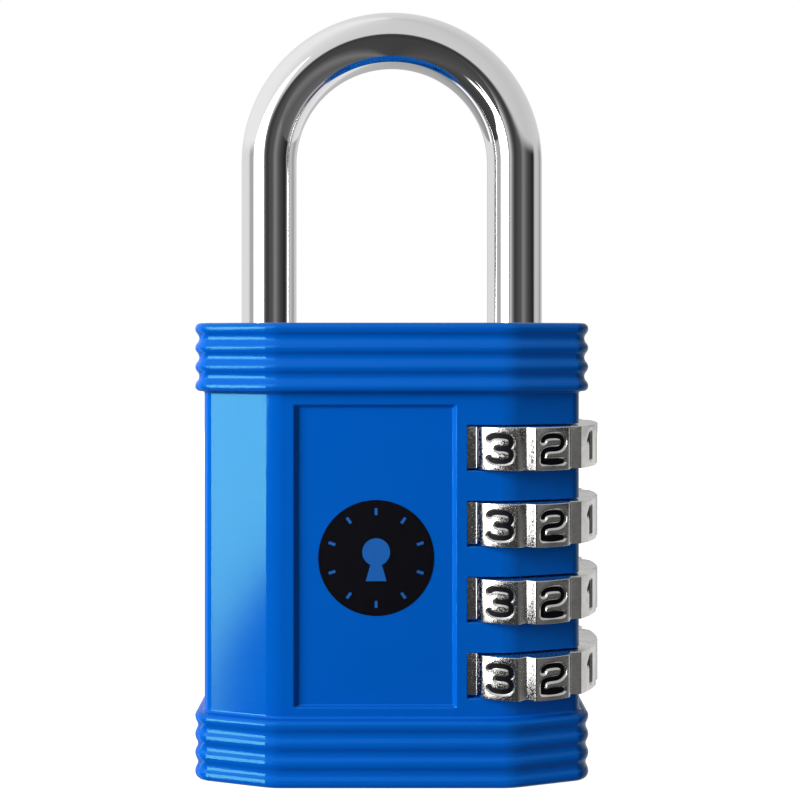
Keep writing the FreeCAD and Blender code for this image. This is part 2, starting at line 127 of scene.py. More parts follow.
def length(name, description, default):
    """Float property for a length in metres."""
    return bpy.props.FloatProperty(
        name=name, description=description, default=default, unit="LENGTH", precision=5)


def colour(name, description, default):
    """Linear colour property."""
    return bpy.props.FloatVectorProperty(
        name=name, description=description, default=default, subtype="COLOR", size=3)


class PadlockSizes(bpy.types.PropertyGroup):
    """Sizes of the pieces that are built here."""

    groove_depth: length("Groove depth", "Depth of the finger grooves of a dial", 0.65 * MM)
    groove_half: length("Groove half width", "Half the width of a groove at the rim", 0.855 * MM)
    digit_turn: bpy.props.FloatProperty(
        name="Digit turn", description="Turn of the digits from the middle of the front",
        default=math.radians(2.0), subtype="ANGLE")
    rim_bevel: length("Rim bevel", "Bevel on the edges of a dial", 0.1 * MM)
    spline_tip: length("Spline tip", "Radius to the inner teeth of a dial", 4.35 * MM)
    spline_root: length("Spline root", "Radius between the inner teeth of a dial", 5.0 * MM)
    spline_height: length("Spline height", "Height of the inner teeth of a dial", 2.0 * MM)
    relief: length("Dial relief", "Radius of the plain bore under the teeth", 5.1 * MM)
    digit_width: length("Digit width", "Width of a digit between stroke middles", 2.33 * MM)
    digit_height: length("Digit height", "Height of a digit between stroke middles", 2.63 * MM)
    cutter_radius: length("Cutter radius", "Radius of the ball cutter of the digits", 0.60 * MM)
    cutter_lift: length("Cutter lift", "Height of the cutter's middle above the rim", 0.38 * MM)
    ink_depth: length("Ink depth", "Depth of the paint filling below the rim", 0.16 * MM)
    toe_height: length("Toe height", "Height of the end of the short leg", 41.2 * MM)
    toe_chamfer: length("Toe chamfer", "Chamfer on the end of the short leg", 0.6 * MM)
    shoulder_height: length("Shoulder", "Height where the long leg becomes thin", 39.5 * MM)
    core_radius: length("Core radius", "Radius of the thin part of the long leg", 2.2 * MM)
    lug_rise: length("Lug rise", "Height of a lug above the end of its sleeve", 0.3 * MM)
    lug_height: length("Lug height", "Height of a lug", 1.7 * MM)
    lug_half: length("Lug half width", "Half the width of a lug", 0.9 * MM)
    badge_radius: length("Badge radius", "Radius of the printed badge", 6.0 * MM)
    badge_across: length("Badge across", "Badge centre from the middle of the body", -1.62 * MM)
    badge_drop: length("Badge drop", "Badge centre below half the height of the body", 0.45 * MM)
    print_thickness: length("Print thickness", "Thickness of the badge print", 0.03 * MM)


class PadlockColours(bpy.types.PropertyGroup):
    """Colours of the finishes."""

    paint: colour("Paint", "Powder coat of the body", (0.0, 0.118, 0.60))
    chrome: colour("Chrome", "Plate of the shackle", (0.80, 0.80, 0.81))
    dial_metal: colour("Dial metal", "Plate of the dials", (0.76, 0.75, 0.73))
    ink: colour("Ink", "Print and filling of the digits", (0.002, 0.002, 0.004))
    badge_marks: colour("Badge marks", "Signs on the badge", (0.008, 0.13, 0.50))
    steel: colour("Steel", "Zinc plated cover and rivets", (0.56, 0.57, 0.60))
    spring_steel: colour("Spring steel", "Springs, pin and washers", (0.42, 0.43, 0.46))
    brass: colour("Brass", "Sleeves", (0.72, 0.49, 0.19))
    floor: colour("Floor", "Pale floor of the studio", (0.32, 0.32, 0.32))


# ---------------------------------------------------------------- node helpers

def add_node(tree, kind, **settings):
    """New node with its properties and, under 'inputs', its unlinked input values."""
    node = tree.nodes.new(kind)
    values = settings.pop("inputs", {})
    for name, value in settings.items():
        setattr(node, name, value)
    for name, value in values.items():
        entry(node.inputs, name).default_value = value
    return node


def entry(sockets, name):
    """The socket of that name that is in use, as a Mix node has one for each data type."""
    return next(socket for socket in sockets if socket.name == name and socket.enabled)


def maths(tree, operation, first, second=None, third=None):
    """Math node; each operand is a number or an output socket. Returns its output."""
    node = add_node(tree, "ShaderNodeMath", operation=operation)
    for index, value in enumerate((first, second, third)):
        if value is None:
            continue
        if isinstance(value, (int, float)):
            node.inputs[index].default_value = value
        else:
            tree.links.new(value, node.inputs[index])
    return node.outputs[0]


def smooth_step(tree, value, low, high, start=0.0, end=1.0):
    """Smooth change from start to end while a value goes from low to high."""
    node = add_node(tree, "ShaderNodeMapRange", interpolation_type="SMOOTHSTEP", inputs={
        "From Min": low, "From Max": high, "To Min": start, "To Max": end})
    tree.links.new(value, node.inputs["Value"])
    return node.outputs["Result"]


def new_group(name, inputs, outputs):
    """Shader node group with its own group input and output nodes."""
    group = bpy.data.node_groups.new(name, "ShaderNodeTree")
    for socket, kind, default in inputs:
        made = group.interface.new_socket(socket, in_out="INPUT", socket_type=kind)
        if default is not None:
            made.default_value = default
    for socket, kind in outputs:
        group.interface.new_socket(socket, in_out="OUTPUT", socket_type=kind)
    return group, group.nodes.new("NodeGroupInput"), group.nodes.new("NodeGroupOutput")


def grain_group():
    """Fine random relief: a mask for colour and roughness, and a bumped normal."""
    found = bpy.data.node_groups.get("fine_grain")
    if found:
        return found
    group, start, end = new_group(
        "fine_grain",
        [("Vector", "NodeSocketVector", None), ("Size", "NodeSocketFloat", 0.0003),
         ("Relief", "NodeSocketFloat", 0.000004), ("Detail", "NodeSocketFloat", 3.0)],
        [("Mask", "NodeSocketFloat"), ("Normal", "NodeSocketVector")])
    scale = maths(group, "DIVIDE", 1.0, start.outputs["Size"])
    noise = add_node(group, "ShaderNodeTexNoise", inputs={"Roughness": 0.55})
    bump = add_node(group, "ShaderNodeBump", inputs={"Strength": 1.0})
    group.links.new(start.outputs["Vector"], noise.inputs["Vector"])
    group.links.new(scale, noise.inputs["Scale"])
    group.links.new(start.outputs["Detail"], noise.inputs["Detail"])
    group.links.new(noise.outputs["Fac"], bump.inputs["Height"])
    group.links.new(start.outputs["Relief"], bump.inputs["Distance"])
    group.links.new(noise.outputs["Fac"], end.inputs["Mask"])
    group.links.new(bump.outputs["Normal"], end.inputs["Normal"])
    return group


def hairline_group():
    """Short fine scratches, stretched along one axis of the pattern."""
    found = bpy.data.node_groups.get("hairlines")
    if found:
        return found
    group, start, end = new_group(
        "hairlines",
        [("Vector", "NodeSocketVector", None), ("Stretch", "NodeSocketVector", (1, 1, 1)),
         ("Size", "NodeSocketFloat", 0.0001), ("Share", "NodeSocketFloat", 0.4)],
        [("Mask", "NodeSocketFloat")])
    stretch = add_node(group, "ShaderNodeVectorMath", operation="MULTIPLY")
    noise = add_node(group, "ShaderNodeTexNoise", inputs={"Detail": 4.0, "Roughness": 0.7})
    group.links.new(start.outputs["Vector"], stretch.inputs[0])
    group.links.new(start.outputs["Stretch"], stretch.inputs[1])
    group.links.new(stretch.outputs[0], noise.inputs["Vector"])
    group.links.new(maths(group, "DIVIDE", 1.0, start.outputs["Size"]), noise.inputs["Scale"])
    opened = maths(group, "MULTIPLY", start.outputs["Share"], 0.3)
    threshold = maths(group, "SUBTRACT", 0.75, opened)
    above = maths(group, "SUBTRACT", noise.outputs["Fac"], threshold)
    steep = maths(group, "MULTIPLY", above, 8.0)
    mask = maths(group, "MINIMUM", maths(group, "MAXIMUM", steep, 0.0), 1.0)
    group.links.new(mask, end.inputs["Mask"])
    return group


def drift_group():
    """Slow change of a colour over a surface, as from handling and uneven coating."""
    found = bpy.data.node_groups.get("colour_drift")
    if found:
        return found
    group, start, end = new_group(
        "colour_drift",
        [("Vector", "NodeSocketVector", None), ("Colour", "NodeSocketColor", None),
         ("Size", "NodeSocketFloat", 0.01), ("Amount", "NodeSocketFloat", 0.08)],
        [("Colour", "NodeSocketColor")])
    noise = add_node(group, "ShaderNodeTexNoise", inputs={"Detail": 2.0})
    shade = add_node(group, "ShaderNodeMix", data_type="RGBA", blend_type="MULTIPLY")
    group.links.new(start.outputs["Vector"], noise.inputs["Vector"])
    group.links.new(maths(group, "DIVIDE", 1.0, start.outputs["Size"]), noise.inputs["Scale"])
    dark = maths(group, "MULTIPLY", noise.outputs["Fac"], start.outputs["Amount"])
    grey = maths(group, "SUBTRACT", 1.0, dark)
    entry(shade.inputs, "Factor").default_value = 1.0
    group.links.new(start.outputs["Colour"], entry(shade.inputs, "A"))
    group.links.new(grey, entry(shade.inputs, "B"))
    group.links.new(entry(shade.outputs, "Result"), end.inputs["Colour"])
    return group


class Finish:
    """A Principled material that is built up from shared effects."""

    def __init__(self, name, tint, metallic, roughness):
        self.material = bpy.data.materials.new(name)
        self.material.use_nodes = True
        self.tree = self.material.node_tree
        self.shader = self.tree.nodes["Principled BSDF"]
        self.place = add_node(self.tree, "ShaderNodeTexCoord").outputs["Object"]
        self.tint = (*tint, 1.0)
        self.material.diffuse_color = self.tint
        self.put("Base Color", self.tint)
        self.put("Metallic", metallic)
        self.put("Roughness", roughness)

    def put(self, socket, value):
        """Sets an input of the shader itself."""
        self.shader.inputs[socket].default_value = value
        return self

    def effect(self, group, **values):
        """Places a shared effect with its own values."""
        node = add_node(self.tree, "ShaderNodeGroup", node_tree=group)
        self.tree.links.new(self.place, node.inputs["Vector"])
        for socket, value in values.items():
            node.inputs[socket].default_value = value
        return node

    def drift(self, size, amount):
        """Lets the colour change slowly over the surface."""
        node = self.effect(drift_group(), Colour=self.tint, Size=size, Amount=amount)
        self.tree.links.new(node.outputs["Colour"], self.shader.inputs["Base Color"])
        return self

    def grain(self, size, relief, detail=3.0, low=None, high=None):
        """Bumps the surface and, with low and high, varies its roughness."""
        node = self.effect(grain_group(), Size=size, Relief=relief, Detail=detail)
        self.tree.links.new(node.outputs["Normal"], self.shader.inputs["Normal"])
        if low is not None:
            rough = smooth_step(self.tree, node.outputs["Mask"], 0.3, 0.7, low, high)
            self.tree.links.new(rough, self.shader.inputs["Roughness"])
        return self

    def scratches(self, size, stretch, share, low, high):
        """Fine lines that catch the light: rougher than the surface between them."""
        node = self.effect(hairline_group(), Size=size, Stretch=stretch, Share=share)
        rough = smooth_step(self.tree, node.outputs["Mask"], 0.0, 1.0, low, high)
        self.tree.links.new(rough, self.shader.inputs["Roughness"])
        return self


def blue_paint(colours):
    finish = Finish("blue_paint", colours.paint, 0.0, 0.24)
    finish.put("Specular IOR Level", 0.31).put("Specular Tint", (0.3, 1.0, 0.45, 1.0))
    return finish.drift(0.006, 0.05).grain(0.00045, 0.0000008, 2.0, 0.09, 0.13).material


def chrome(colours):
    finish = Finish("chrome_rod", colours.chrome, 1.0, 0.05)
    finish.grain(0.0016, 0.0000016, 2.0)
    return finish.scratches(0.00008, (1.0, 1.0, 0.06), 0.35, 0.035, 0.11).material


def dial_metal(colours):
    finish = Finish("dial_metal", colours.dial_metal, 1.0, 0.2)
    return finish.drift(0.0009, 0.35).grain(0.0002, 0.000003, 4.0, 0.1, 0.3).material


def black_ink(colours):
    finish = Finish("black_ink", colours.ink, 0.0, 0.35)
    finish.put("Specular IOR Level", 0.12)
    return finish.grain(0.00012, 0.000004, 3.0, 0.3, 0.55).material


def badge_mark_ink(colours):
    finish = Finish("badge_mark_ink", colours.badge_marks, 0.0, 0.4)
    return finish.drift(0.0008, 0.15).grain(0.0001, 0.000002, 3.0, 0.35, 0.5).material


def plated_steel(colours):
    finish = Finish("plated_steel", colours.steel, 1.0, 0.35)
    finish.drift(0.003, 0.2).grain(0.0004, 0.000003, 3.0)
    return finish.scratches(0.00012, (0.05, 1.0, 1.0), 0.6, 0.28, 0.5).material


def spring_steel(colours):
    finish = Finish("spring_steel", colours.spring_steel, 1.0, 0.3)
    return finish.drift(0.002, 0.2).grain(0.0002, 0.000002, 3.0, 0.22, 0.4).material


def brass(colours):
    finish = Finish("sleeve_brass", colours.brass, 1.0, 0.25)
    finish.drift(0.002, 0.15)
    return finish.scratches(0.00006, (0.08, 0.08, 1.0), 0.5, 0.2, 0.42).material


def material(name):
    """The finish of that name, built the first time it is asked for."""
    makers = {
        "blue_paint": blue_paint, "chrome_rod": chrome, "dial_metal": dial_metal,
        "black_ink": black_ink, "badge_mark_ink": badge_mark_ink,
        "plated_steel": plated_steel, "spring_steel": spring_steel, "sleeve_brass": brass,
    }
    return bpy.data.materials.get(f"finish_{name}") or named(makers[name], name)


def named(maker, name):
    """Builds a finish and gives it its name."""
    made = maker(bpy.context.scene.padlock_colours)
    made.name = f"finish_{name}"
    return made


def repaint(node, name):
    """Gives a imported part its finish."""
    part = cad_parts[node]
    part.data.materials.clear()
    part.data.materials.append(material(name))


# ---------------------------------------------------------------- mesh helpers

def mesh_object(name, bm, finish, sharp):
    """Object at the origin from a bmesh, smooth except at edges over the sharp angle."""
    data = bpy.data.meshes.new(name)
    bmesh.ops.recalc_face_normals(bm, faces=bm.faces)
    bm.to_mesh(data)
    bm.free()
    piece = bpy.data.objects.new(name, data)
    bpy.context.scene.collection.objects.link(piece)
    piece.data.materials.append(material(finish))
    shade(piece, sharp)
    return piece


def shade(piece, sharp):
    """Smooth shading with hard edges over the sharp angle."""
    piece.data.shade_smooth()
    piece.data.set_sharp_from_angle(angle=sharp)


def bake(piece):
    """Replaces a piece's mesh with what its modifiers make, and removes them."""
    depsgraph = bpy.context.evaluated_depsgraph_get()
    old = piece.data
    done = bpy.data.meshes.new_from_object(piece.evaluated_get(depsgraph))
    piece.modifiers.clear()
    piece.data = done
    done.name = piece.name
    bpy.data.meshes.remove(old)


def ring_surface(bm, rings, closed_ends=True):
    """Skins a list of rings, each a list of points, and caps both ends."""
    loops = [[bm.verts.new(point) for point in ring] for ring in rings]
    count = len(loops[0])
    for lower, upper in zip(loops, loops[1:]):
        for index in range(count):
            after = (index + 1) % count
            bm.faces.new((lower[index], lower[after], upper[after], upper[index]))
    if closed_ends:
        bm.faces.new(list(reversed(loops[0])))
        bm.faces.new(loops[-1])
    return loops


def boolean(piece, other, operation):
    """Cuts or trims a piece with another one."""
    modifier = piece.modifiers.new(operation.lower(), "BOOLEAN")
    modifier.operation = operation
    modifier.object = other
    modifier.solver = "EXACT"
    modifier.use_self = True
    bake(piece)


def remove(piece):
    """Deletes a helper object and its mesh."""
    data = piece.data
    bpy.data.objects.remove(piece)
    bpy.data.meshes.remove(data)


def circle_outline(radius, count):
    """Points round a circle in its own plane."""
    turns = [2 * math.pi * index / count for index in range(count)]
    return [(radius * math.cos(turn), radius * math.sin(turn)) for turn in turns]


def dial_axis(node):
    """Middle of a dial and its radius, from its box."""
    low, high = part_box(node)
    return (low + high) / 2, (high.x - low.x) / 2


# ---------------------------------------------------------------- dials

def dial_angles(sizes, radius):
    """Angles of one tenth of a dial, counted from the middle of its groove."""
    edge = math.asin(sizes.groove_half / radius)
    land_steps = int((DIGIT_STEP - 2 * edge) / DIAL_SIDE_STEP)
    angles = [0.0, DIGIT_STEP - edge]
    angles += [edge + DIAL_SIDE_STEP * index for index in range(land_steps)]
    for flank in (-TOOTH_HALF_ANGLE, TOOTH_HALF_ANGLE):
        for side in (-TOOTH_CORNER, TOOTH_CORNER):
            angles.append((flank + side - sizes.digit_turn) % DIGIT_STEP)
    return sorted(angles)


def dial_blank(node):
    """Dial with ten lands, finger grooves and inner teeth, before its digits are cut."""
    sizes = bpy.context.scene.padlock_sizes
    middle, radius = dial_axis(node)
    low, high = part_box(node)
    outer, teeth, relief = [], [], []
    for tenth in range(DIGIT_COUNT):
        for angle in dial_angles(sizes, radius):
            turn = sizes.digit_turn - QUARTER + tenth * DIGIT_STEP + angle
            direction = Vector((math.cos(turn), math.sin(turn), 0))
            in_groove = angle == 0
            tooth_angle = (angle + sizes.digit_turn + DIGIT_STEP / 2) % DIGIT_STEP - DIGIT_STEP / 2
            in_tooth = abs(tooth_angle) < TOOTH_HALF_ANGLE
            outer.append(direction * (radius - sizes.groove_depth if in_groove else radius))
            teeth.append(direction * (sizes.spline_tip if in_tooth else sizes.spline_root))
            relief.append(direction * sizes.relief)
    axis = Vector((middle.x, middle.y, 0))
    step_z = high.z - sizes.spline_height
    rings = [(outer, low.z), (outer, high.z), (teeth, high.z), (teeth, step_z),
             (relief, step_z), (relief, low.z)]
    placed = [[axis + point + Vector((0, 0, z)) for point in ring] for ring, z in rings]
    bm = bmesh.new()
    loops = ring_surface(bm, placed, closed_ends=False)
    count = len(loops[0])
    for index in range(count):
        after = (index + 1) % count
        bm.faces.new((loops[-1][index], loops[-1][after], loops[0][after], loops[0][index]))
    weights = bm.edges.layers.float.new("bevel_weight_edge")
    outline = set(loops[0]) | set(loops[1])
    bm.normal_update()
    for line in bm.edges:
        if set(line.verts) <= outline and line.calc_face_angle(0.0) > DIAL_SHARP:
            line[weights] = 1.0
    piece = mesh_object(node + "_detailed", bm, "dial_metal", DIAL_SHARP)
    bevel = piece.modifiers.new("rims", "BEVEL")
    bevel.limit_method = "WEIGHT"
    bevel.width = sizes.rim_bevel
    bevel.segments = 3
    bake(piece)
    return piece


def squared(value):
    """Sine or cosine pushed outwards, which makes an ellipse squarer."""
    return math.copysign(abs(value) ** BOWL_SQUARENESS, value)


def arc(centre, radii, start, end):
    """Points of a squared elliptic arc in digit space, angles in degrees."""
    count = max(4, round(abs(end - start) / 12))
    points = []
    for index in range(count + 1):
        angle = math.radians(start + (end - start) * index / count)
        points.append((centre[0] + radii[0] * squared(math.cos(angle)),
                       centre[1] + radii[1] * squared(math.sin(angle))))
    return points


def digit_strokes():
    """Strokes of the digits 0 to 9 in a unit square: (points, closed)."""
    side, top = 0.5, 0.5
    bowl = (side, 0.26)
    return [
        [(arc((0, 0.1), (side, 0.4), 0, 180) + arc((0, -0.1), (side, 0.4), 180, 360), True)],
        [([(-0.16, 0.22), (0.06, top)], False), ([(0.06, top), (0.06, -top)], False)],
        [(arc((0, 0.24), bowl, 170, -90) + arc((0, -0.28), bowl, 90, 180)[1:], False),
         ([(-side, -0.28), (-side, -top)], False), ([(-side, -top), (side, -top)], False)],
        [(arc((0, 0.25), (side, 0.25), 155, -90), False), ([(-0.12, 0), (0.1, 0)], False),
         (arc((0, -0.25), (side, 0.25), 90, -155), False)],
        [([(0.2, top), (-side, -0.2)], False), ([(-side, -0.2), (side, -0.2)], False),
         ([(0.2, top), (0.2, -top)], False)],
        [([(0.42, top), (-0.4, top)], False), ([(-0.4, top), (-0.46, 0.04)], False),
         (arc((-0.02, -0.19), (side, 0.31), 140, -150), False)],
        [(arc((0, -0.2), (side, 0.3), 0, 360)[:-1], True),
         ([(-side, -0.2)] + arc((0.06, 0.0), (0.56, top), 180, 60), False)],
        [([(-side, top), (side, top)], False), ([(side, top), (-0.12, -top)], False)],
        [(arc((0, 0.26), (0.42, 0.24), 0, 360)[:-1], True),
         (arc((0, -0.24), (side, 0.26), 0, 360)[:-1], True)],
        [(arc((0, 0.2), (side, 0.3), 0, 360)[:-1], True),
         ([(side, 0.2)] + arc((-0.06, 0.0), (0.56, top), 0, -120), False)],
    ]


def stroke_lines(node):
    """Edge mesh of all ten digits, wrapped round the rim of a dial."""
    sizes = bpy.context.scene.padlock_sizes
    middle, radius = dial_axis(node)
    bm = bmesh.new()
    for digit, strokes in enumerate(digit_strokes()):
        for points, closed in strokes:
            verts = []
            for across, up in points:
                angle = sizes.digit_turn - digit * DIGIT_STEP + across * sizes.digit_width / radius
                reach = radius + sizes.cutter_lift
                verts.append(bm.verts.new((
                    middle.x + reach * math.cos(angle), middle.y + reach * math.sin(angle),
                    middle.z + up * sizes.digit_height)))
            pairs = list(zip(verts, verts[1:]))
            if closed:
                pairs.append((verts[-1], verts[0]))
            for pair in pairs:
                bm.edges.new(pair)
    data = bpy.data.meshes.new("digit_lines")
    bm.to_mesh(data)
    bm.free()
    lines = bpy.data.objects.new("digit_lines", data)
    bpy.context.scene.collection.objects.link(lines)
    return lines


def new_geometry_tree(name, inputs):
    """Geometry node tree with its own input and output nodes."""
    tree = bpy.data.node_groups.new(name, "GeometryNodeTree")
    sockets = [("Geometry", "NodeSocketGeometry"), *inputs, ("Material", "NodeSocketMaterial")]
    for socket, kind in sockets:
        tree.interface.new_socket(socket, in_out="INPUT", socket_type=kind)
    tree.interface.new_socket("Geometry", in_out="OUTPUT", socket_type="NodeSocketGeometry")
    return tree, tree.nodes.new("NodeGroupInput"), tree.nodes.new("NodeGroupOutput")


def sweep_tree():
    """Geometry nodes: a round bar along every line, with a ball at each open end."""
    tree, start, end = new_geometry_tree("ball_cutter_path", [("Radius", "NodeSocketFloat")])
    curve = add_node(tree, "GeometryNodeMeshToCurve")
    circle = add_node(tree, "GeometryNodeCurvePrimitiveCircle", inputs={"Resolution": 16})
    bar = add_node(tree, "GeometryNodeCurveToMesh", inputs={"Fill Caps": True})
    ends = add_node(tree, "GeometryNodeCurveEndpointSelection")
    ball = add_node(tree, "GeometryNodeMeshUVSphere", inputs={"Segments": 16, "Rings": 9})
    balls = add_node(tree, "GeometryNodeInstanceOnPoints")
    real = add_node(tree, "GeometryNodeRealizeInstances")
    joined = add_node(tree, "GeometryNodeJoinGeometry")
    paint = add_node(tree, "GeometryNodeSetMaterial")
    link = tree.links.new
    link(start.outputs["Geometry"], curve.inputs["Mesh"])
    link(start.outputs["Radius"], circle.inputs["Radius"])
    link(start.outputs["Radius"], ball.inputs["Radius"])
    link(curve.outputs["Curve"], bar.inputs["Curve"])
    link(circle.outputs["Curve"], bar.inputs["Profile Curve"])
    link(curve.outputs["Curve"], balls.inputs["Points"])
    link(ends.outputs["Selection"], balls.inputs["Selection"])
    link(ball.outputs["Mesh"], balls.inputs["Instance"])
    link(bar.outputs["Mesh"], joined.inputs["Geometry"])
    link(balls.outputs["Instances"], joined.inputs["Geometry"])
    link(joined.outputs["Geometry"], real.inputs["Geometry"])
    link(real.outputs["Geometry"], paint.inputs["Geometry"])
    link(start.outputs["Material"], paint.inputs["Material"])
    link(paint.outputs["Geometry"], end.inputs["Geometry"])
    return tree


def run_tree(piece, tree, **values):
    """Runs a geometry node tree on a piece and keeps its result as plain mesh."""
    modifier = piece.modifiers.new(tree.name, "NODES")
    modifier.node_group = tree
    for item in tree.interface.items_tree:
        if item.in_out == "INPUT" and item.name in values:
            modifier[item.identifier] = values[item.name]
    bake(piece)
    return piece


def ink_drum(node):
    """Solid drum that the paint of the digits is trimmed to."""
    sizes = bpy.context.scene.padlock_sizes
    middle, radius = dial_axis(node)
    low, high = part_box(node)
    outline = circle_outline(radius - sizes.ink_depth, ROUND_STEPS)
    rings = [[(middle.x + x, middle.y + y, z) for x, y in outline] for z in (low.z, high.z)]
    bm = bmesh.new()
    ring_surface(bm, rings)
    return mesh_object("ink_drum", bm, "black_ink", DIAL_SHARP)


def engraved_dial(node):
    """A dial with its digits cut in, and the paint that fills them."""
    sizes = bpy.context.scene.padlock_sizes
    blank = dial_blank(node)
    cutter = run_tree(stroke_lines(node), sweep_tree(), Radius=sizes.cutter_radius,
                      Material=material("dial_metal"))
    ink = bpy.data.objects.new(node + "_ink", cutter.data.copy())
    bpy.context.scene.collection.objects.link(ink)
    boolean(blank, cutter, "DIFFERENCE")
    drum = ink_drum(node)
    boolean(ink, drum, "INTERSECT")
    remove(drum)
    remove(cutter)
    ink.data.materials.clear()
    ink.data.materials.append(material("black_ink"))
    for piece in (blank, ink):
        shade(piece, DIAL_SHARP)
    return blank, ink


def copy_down(piece, name, drop):
    """A copy of a piece, moved in its mesh."""
    twin = bpy.data.objects.new(name, piece.data.copy())
    bpy.context.scene.collection.objects.link(twin)
    for vertex in twin.data.vertices:
        vertex.co.z += drop
    twin.data.update()
    return twin


class PADLOCK_OT_dials(bpy.types.Operator):
    """Builds the four engraved dials and the paint in their digits"""

    bl_idname = "padlock.dials"
    bl_label = "Dials"

    def execute(self, context):
        first, ink = engraved_dial(DIALS[0])
        top = dial_axis(DIALS[0])[0].z
        for node in DIALS[1:]:
            drop = dial_axis(node)[0].z - top
            self.place(copy_down(first, node + "_detailed", drop),
                       copy_down(ink, node + "_ink", drop), node)
        self.place(first, ink, DIALS[0])
        return {"FINISHED"}

    def place(self, dial, ink, node):
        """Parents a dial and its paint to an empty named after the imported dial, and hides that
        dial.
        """
        for piece, slot in ((dial, "dial_metal"), (ink, "black_ink")):
            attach(piece, node)
        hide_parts(node)


# ---------------------------------------------------------------- shackle

def rod_path(leg, arch_z, toe_z, end_z):
    """Middle line of the shackle from its toe to the end of the long leg."""
    points = [Vector((-leg, 0, toe_z)), Vector((-leg, 0, arch_z))]
    for index in range(1, BOW_STEPS):
        angle = math.pi * (1 - index / BOW_STEPS)
        points.append(Vector((leg * math.cos(angle), 0, arch_z + leg * math.sin(angle))))
    points += [Vector((leg, 0, arch_z)), Vector((leg, 0, end_z))]
    return points


def bar_ring(centre, along, radius):
    """Ring of points round a middle line that lies in the XZ plane."""
    across = Vector((0, 1, 0))
    out = across.cross(along).normalized()
    return [centre + out * x + across * y for x, y in circle_outline(radius, ROD_SIDES)]


def shackle_rings(sizes, low, high):
    """Rings along the shackle from its chamfered toe to the end of its core."""
    rod = (high.y - low.y) / 2
    leg = high.x - rod
    arch_z = high.z - leg - rod
    path = rod_path(leg, arch_z, sizes.toe_height + sizes.toe_chamfer, sizes.shoulder_height)
    toe = Vector((-leg, 0, sizes.toe_height))
    rings = [bar_ring(toe, Vector((0, 0, 1)), rod - sizes.toe_chamfer)]
    for index, point in enumerate(path):
        before = path[max(index - 1, 0)]
        after = path[min(index + 1, len(path) - 1)]
        rings.append(bar_ring(point, (after - before).normalized(), rod))
    down = Vector((0, 0, -1))
    for z in (sizes.shoulder_height, low.z):
        rings.append(bar_ring(Vector((leg, 0, z)), down, sizes.core_radius))
    return rings, leg, rod


def box_object(name, low, high):
    """Block between two corners, for cutting."""
    bm = bmesh.new()
    bmesh.ops.create_cube(bm, size=1.0)
    for vertex in bm.verts:
        for axis in range(3):
            middle = (low[axis] + high[axis]) / 2
            vertex.co[axis] = middle + vertex.co[axis] * (high[axis] - low[axis])
    return mesh_object(name, bm, "chrome_rod", DIAL_SHARP)


def lug_column(bm, leg, rod, sizes, bottom):
    """One lug: a round-ended key on the inner side of the long leg."""
    steps = 8
    half = math.asin(sizes.lug_half / rod)
    outline = [Vector((leg, sizes.lug_half, 0)), Vector((leg, -sizes.lug_half, 0))]
    for index in range(steps + 1):
        angle = math.pi + half - 2 * half * index / steps
        outline.append(Vector((leg + rod * math.cos(angle), rod * math.sin(angle), 0)))
    rings = [[point + Vector((0, 0, z)) for point in outline]
             for z in (bottom, bottom + sizes.lug_height)]
    ring_surface(bm, rings)


class PADLOCK_OT_shackle(bpy.types.Operator):
    """Builds the bent rod with its thin core, four lugs and the flat for the pin"""

    bl_idname = "padlock.shackle"
    bl_label = "Shackle"

    def execute(self, context):
        sizes = context.scene.padlock_sizes
        low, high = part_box("shackle")
        rings, leg, rod = shackle_rings(sizes, low, high)
        bm = bmesh.new()
        ring_surface(bm, rings)
        for sleeve in SLEEVES:
            lug_column(bm, leg, rod, sizes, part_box(sleeve)[0].z + sizes.lug_rise)
        piece = mesh_object("shackle_rod", bm, "chrome_rod", SHACKLE_SHARP)
        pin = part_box("retaining_pin")[1]
        flat = box_object(
            "pin_flat", (leg - 2 * rod, -2 * rod, sizes.shoulder_height - PIN_CLEARANCE),
            (pin.x + PIN_CLEARANCE, 2 * rod, pin.z + PIN_HEADROOM))
        boolean(piece, flat, "DIFFERENCE")
        remove(flat)
        shade(piece, SHACKLE_SHARP)
        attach(piece, "shackle")
        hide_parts("shackle")
        return {"FINISHED"}


# ---------------------------------------------------------------- body and badge

class PADLOCK_OT_body(bpy.types.Operator):
    """Paints the casting and finishes the cover, the rivets and the mechanism"""

    bl_idname = "padlock.body"
    bl_label = "Body and mechanism"

    def execute(self, context):
        finishes = {"body_casting": "blue_paint", "base_cover": "plated_steel",
                    "base_rivets": "plated_steel", "retaining_pin": "spring_steel",
                    "top_washer": "spring_steel", "thrust_washer": "spring_steel",
                    "sleeve_spring": "spring_steel"}
        finishes.update({leaf: "spring_steel" for leaf in LEAVES})
        finishes.update({sleeve: "sleeve_brass" for sleeve in SLEEVES})
        finishes.update({dial: "dial_metal" for dial in DIALS})
        finishes["shackle"] = "chrome_rod"
        for node, finish in finishes.items():
            repaint(node, finish)
        return {"FINISHED"}


def panel_point(across, height):
    """Point on the front of the casting in front of a place given in X and Z."""
    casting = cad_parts["body_casting"]
    hit, place, _, _ = casting.ray_cast(Vector((across, -0.05, height)), Vector((0, 1, 0)))
    if not hit:
        raise RuntimeError("the badge is not in front of the casting")
    return place


def flat_solid(bm, outline, centre, front, thickness):
    """Thin plate with an outline in X and Z, its face towards -Y."""
    rings = []
    for y in (front + thickness, front):
        rings.append([Vector((centre.x + x, y, centre.z + z)) for x, z in outline])
    ring_surface(bm, rings)


def keyhole_outline(head, neck, foot, drop):
    """Keyhole sign: a round head over a slot that widens downwards."""
    opening = math.asin(neck / head)
    points = []
    count = 48
    for index in range(count + 1):
        angle = -QUARTER + opening + (2 * math.pi - 2 * opening) * index / count
        points.append((head * math.cos(angle), head * math.sin(angle)))
    return points + [(-foot, -drop), (foot, -drop)]


